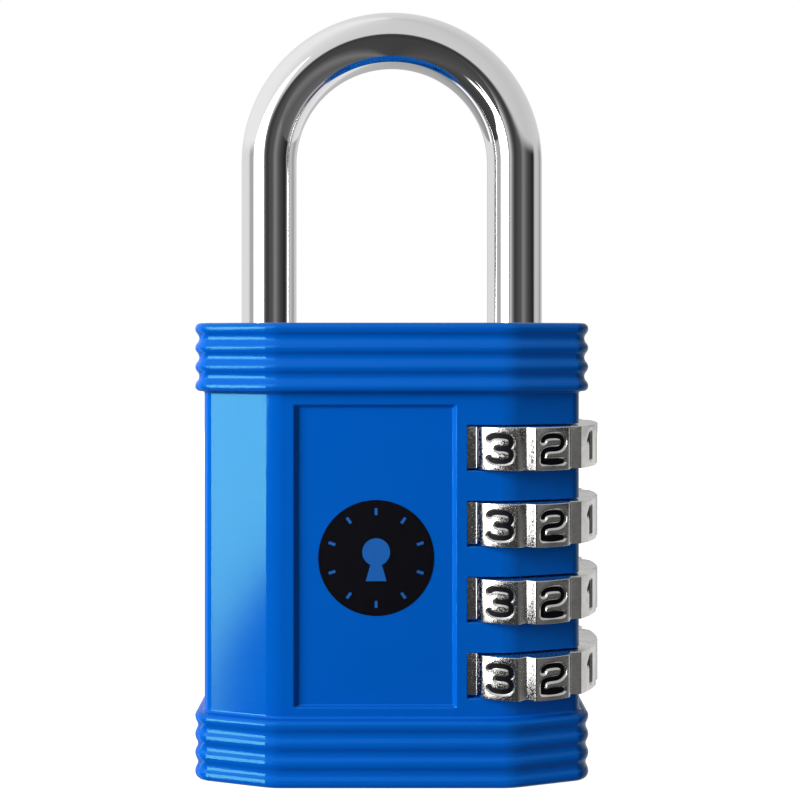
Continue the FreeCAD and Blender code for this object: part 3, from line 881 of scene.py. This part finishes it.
def tick_tree():
    """Geometry nodes: copies of one tick, evenly spaced round an axis along Y."""
    tree, start, end = new_geometry_tree(
        "badge_ticks", [("Count", "NodeSocketInt"), ("Centre", "NodeSocketVector")])
    points = add_node(tree, "GeometryNodePoints")
    copies = add_node(tree, "GeometryNodeInstanceOnPoints")
    index = add_node(tree, "GeometryNodeInputIndex")
    turn = add_node(tree, "ShaderNodeCombineXYZ")
    real = add_node(tree, "GeometryNodeRealizeInstances")
    paint = add_node(tree, "GeometryNodeSetMaterial")
    link = tree.links.new
    step = maths(tree, "DIVIDE", 2 * math.pi, start.outputs["Count"])
    angle = maths(tree, "MULTIPLY", index.outputs["Index"], step)
    link(angle, turn.inputs["Y"])
    link(start.outputs["Count"], points.inputs["Count"])
    link(start.outputs["Centre"], points.inputs["Position"])
    link(points.outputs["Points"], copies.inputs["Points"])
    link(start.outputs["Geometry"], copies.inputs["Instance"])
    link(turn.outputs["Vector"], copies.inputs["Rotation"])
    link(copies.outputs["Instances"], real.inputs["Geometry"])
    link(real.outputs["Geometry"], paint.inputs["Geometry"])
    link(start.outputs["Material"], paint.inputs["Material"])
    link(paint.outputs["Geometry"], end.inputs["Geometry"])
    return tree


class PADLOCK_OT_badge(bpy.types.Operator):
    """Prints the round badge with its keyhole sign and ten dial ticks"""

    bl_idname = "padlock.badge"
    bl_label = "Badge"

    def execute(self, context):
        sizes = context.scene.padlock_sizes
        low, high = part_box("body_casting")
        centre = panel_point((low.x + high.x) / 2 + sizes.badge_across,
                             (low.z + high.z) / 2 - sizes.badge_drop)
        radius, thick = sizes.badge_radius, sizes.print_thickness
        face = centre.y - thick
        bm = bmesh.new()
        flat_solid(bm, circle_outline(radius, 180), centre, face, 2 * thick)
        disc = mesh_object("badge_disc", bm, "black_ink", DIAL_SHARP)
        bm = bmesh.new()
        outline = keyhole_outline(KEYHOLE_HEAD * radius, KEYHOLE_NECK * radius,
                                  KEYHOLE_FOOT * radius, KEYHOLE_DROP * radius)
        raised = centre + Vector((0, 0, KEYHOLE_RISE * radius))
        flat_solid(bm, outline, raised, face - thick / 3, thick)
        sign = mesh_object("badge_keyhole", bm, "badge_mark_ink", DIAL_SHARP)
        bm = bmesh.new()
        half, inner, outer = (share * radius for share in (TICK_HALF_WIDTH, TICK_INNER, TICK_OUTER))
        tick = [(-half, inner), (half, inner), (half, outer), (-half, outer)]
        flat_solid(bm, tick, Vector((0, 0, 0)), -thick / 3, thick)
        ticks = mesh_object("badge_ticks", bm, "badge_mark_ink", DIAL_SHARP)
        run_tree(ticks, tick_tree(), Count=DIGIT_COUNT, Centre=(centre.x, face, centre.z),
                 Material=material("badge_mark_ink"))
        for piece in (disc, sign, ticks):
            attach(piece, "body")
        return {"FINISHED"}


# ---------------------------------------------------------------- stage

def ramp(tree, bearing, stops):
    """Brightness by bearing: stops are (degrees to the left of the front, brightness)."""
    share = maths(tree, "MULTIPLY_ADD", bearing, 0.5 / math.pi, 0.5)
    node = add_node(tree, "ShaderNodeValToRGB")
    elements = node.color_ramp.elements
    while len(elements) < len(stops):
        elements.new(1.0)
    for element, (degrees, grey) in zip(elements, stops):
        element.position = (degrees + 180) / 360
        element.color = (grey, grey, grey, 1)
    tree.links.new(share, node.inputs["Fac"])
    return node.outputs["Color"]


def studio_world():
    """White to the camera, even grey to matt surfaces, and soft panels to glossy ones."""
    world = bpy.data.worlds.new("studio")
    bpy.context.scene.world = world
    world.use_nodes = True
    tree = world.node_tree
    tree.nodes.clear()
    parts = add_node(tree, "ShaderNodeSeparateXYZ")
    tree.links.new(add_node(tree, "ShaderNodeTexCoord").outputs["Generated"], parts.inputs[0])
    left = maths(tree, "MULTIPLY", parts.outputs["X"], -1.0)
    front = maths(tree, "MULTIPLY", parts.outputs["Y"], -1.0)
    height = parts.outputs["Z"]
    bearing = maths(tree, "ARCTAN2", left, front)
    walls = ramp(tree, bearing, WALLS)
    ceiling = ramp(tree, bearing, CEILING)
    table = ramp(tree, bearing, TABLE)
    upper = mixed(tree, walls, ceiling, smooth_step(tree, height, 0.2, 0.3))
    level = mixed(tree, table, upper, smooth_step(tree, height, -0.03, 0.0))
    glow = maths(tree, "MULTIPLY", soft_box(tree, bearing, height), SOFT_BOX)
    gloss = maths(tree, "ADD", level, glow)
    rays = add_node(tree, "ShaderNodeLightPath")
    matt = mixed(tree, AMBIENT, gloss, rays.outputs["Is Glossy Ray"])
    seen = mixed(tree, matt, 1.0, rays.outputs["Is Camera Ray"])
    background = add_node(tree, "ShaderNodeBackground", inputs={"Color": (1, 1, 1, 1)})
    output = add_node(tree, "ShaderNodeOutputWorld")
    tree.links.new(seen, background.inputs["Strength"])
    tree.links.new(background.outputs[0], output.inputs["Surface"])


def soft_box(tree, bearing, height):
    """Mask of a low soft box at the left front, with a leaning right edge."""
    edge = smooth_step(tree, height, -0.3, -0.04, math.radians(39.8), math.radians(31.5))
    opened = smooth_step(tree, maths(tree, "SUBTRACT", bearing, edge), 0.0, 0.012)
    closed = smooth_step(tree, bearing, math.radians(44), math.radians(48), 1.0, 0.0)
    top = smooth_step(tree, height, 0.22, 0.36, 1.0, 0.0)
    bottom = smooth_step(tree, height, -0.52, -0.15)
    across = maths(tree, "MULTIPLY", opened, closed)
    return maths(tree, "MULTIPLY", across, maths(tree, "MULTIPLY", top, bottom))


def mixed(tree, first, second, factor):
    """first where factor is 0 and second where it is 1; numbers or sockets."""
    node = add_node(tree, "ShaderNodeMix", data_type="FLOAT")
    for name, value in (("Factor", factor), ("A", first), ("B", second)):
        if isinstance(value, (int, float)):
            entry(node.inputs, name).default_value = value
        else:
            tree.links.new(value, entry(node.inputs, name))
    return entry(node.outputs, "Result")


def area_light(name, place, target, size, power):
    """Rectangular light that the camera doesn't see."""
    data = bpy.data.lights.new(name, "AREA")
    data.shape = "RECTANGLE"
    data.size, data.size_y = size
    data.energy = power
    light = bpy.data.objects.new(name, data)
    light.location = place
    light.rotation_euler = (Vector(target) - Vector(place)).to_track_quat("-Z", "Y").to_euler()
    light.visible_camera = False
    bpy.context.scene.collection.objects.link(light)
    return light


def floor_material(tint):
    """Pale matt floor with a glow that only the camera sees, so its shadows stay faint."""
    finish = bpy.data.materials.new("floor_pale")
    finish.use_nodes = True
    tree = finish.node_tree
    shader = tree.nodes["Principled BSDF"]
    shader.inputs["Roughness"].default_value = 0.9
    shader.inputs["Specular IOR Level"].default_value = 0.0
    shader.inputs["Emission Color"].default_value = (1, 1, 1, 1)
    noise = add_node(tree, "ShaderNodeTexNoise", inputs={"Scale": 900.0, "Detail": 3.0})
    tone = add_node(tree, "ShaderNodeMix", data_type="RGBA")
    entry(tone.inputs, "A").default_value = (*tint, 1)
    entry(tone.inputs, "B").default_value = (*[0.97 * c for c in tint], 1)
    place = add_node(tree, "ShaderNodeTexCoord")
    tree.links.new(place.outputs["Object"], noise.inputs["Vector"])
    tree.links.new(noise.outputs["Fac"], entry(tone.inputs, "Factor"))
    tree.links.new(entry(tone.outputs, "Result"), shader.inputs["Base Color"])
    rays = add_node(tree, "ShaderNodeLightPath")
    glow = maths(tree, "MULTIPLY", rays.outputs["Is Camera Ray"], FLOOR_GLOW)
    tree.links.new(glow, shader.inputs["Emission Strength"])
    return finish


class PADLOCK_OT_stage(bpy.types.Operator):
    """Sets up the floor, the soft lights, the world and the camera"""

    bl_idname = "padlock.stage"
    bl_label = "Stage"

    def execute(self, context):
        scene = context.scene
        scene.view_settings.view_transform = "Standard"
        low, high = cad_box
        self.floor(scene, low.z - FLOOR_GAP)
        studio_world()
        middle = (0, 0, 0.4 * (low.z + high.z))
        for name, settings in (("key", KEY_LIGHT), ("fill", FILL_LIGHT), ("card", SHACKLE_CARD)):
            place, target, size, power = settings
            light = area_light(name, place, target or middle, size, power)
            light.visible_glossy = name == "card"
            light.visible_diffuse = name != "card"
        self.camera(scene)
        return {"FINISHED"}

    def floor(self, scene, height):
        """Round floor that only the matt surfaces and the camera see."""
        bm = bmesh.new()
        bmesh.ops.create_circle(bm, cap_ends=True, segments=96, radius=FLOOR_RADIUS)
        data = bpy.data.meshes.new("floor")
        bm.to_mesh(data)
        bm.free()
        floor = bpy.data.objects.new("floor", data)
        floor.location.z = height
        scene.collection.objects.link(floor)
        data.materials.append(floor_material(scene.padlock_colours.floor))
        floor.visible_glossy = False

    def camera(self, scene):
        """Level camera just below the top of the body."""
        data = bpy.data.cameras.new("camera")
        data.lens = CAMERA_LENS
        data.shift_x, data.shift_y = CAMERA_SHIFT
        data.clip_start = MM
        camera = bpy.data.objects.new("camera", data)
        camera.location = CAMERA_PLACE
        camera.rotation_euler = (QUARTER, 0, 0)
        scene.collection.objects.link(camera)
        scene.camera = camera


# ---------------------------------------------------------------- panel and registration

OPERATORS = (PADLOCK_OT_stage, PADLOCK_OT_body, PADLOCK_OT_badge, PADLOCK_OT_dials,
             PADLOCK_OT_shackle)


class PADLOCK_PT_panel(bpy.types.Panel):
    """Sizes, colours and build buttons of the padlock"""

    bl_idname = "PADLOCK_PT_panel"
    bl_label = "Padlock"
    bl_space_type = "VIEW_3D"
    bl_region_type = "UI"
    bl_category = "Padlock"

    def draw(self, context):
        """Lists the build buttons, then the sizes and the colours."""
        for operator in OPERATORS:
            self.layout.operator(operator.bl_idname)
        for group in (context.scene.padlock_sizes, context.scene.padlock_colours):
            for name in group.bl_rna.properties.keys():
                if name not in ("rna_type", "name"):
                    self.layout.prop(group, name)


CLASSES = (PadlockSizes, PadlockColours, *OPERATORS, PADLOCK_PT_panel)


def register():
    """Adds the classes and gives the scene its sizes and colours."""
    for each in CLASSES:
        bpy.utils.register_class(each)
    bpy.types.Scene.padlock_sizes = bpy.props.PointerProperty(type=PadlockSizes)
    bpy.types.Scene.padlock_colours = bpy.props.PointerProperty(type=PadlockColours)


def unregister():
    """Takes away what register added."""
    del bpy.types.Scene.padlock_colours
    del bpy.types.Scene.padlock_sizes
    for each in reversed(CLASSES):
        bpy.utils.unregister_class(each)


def main():
    """Builds everything."""
    register()
    bpy.ops.padlock.stage()
    bpy.ops.padlock.body()
    bpy.ops.padlock.badge()
    bpy.ops.padlock.dials()
    bpy.ops.padlock.shackle()


if __name__ == "__main__":
    main()
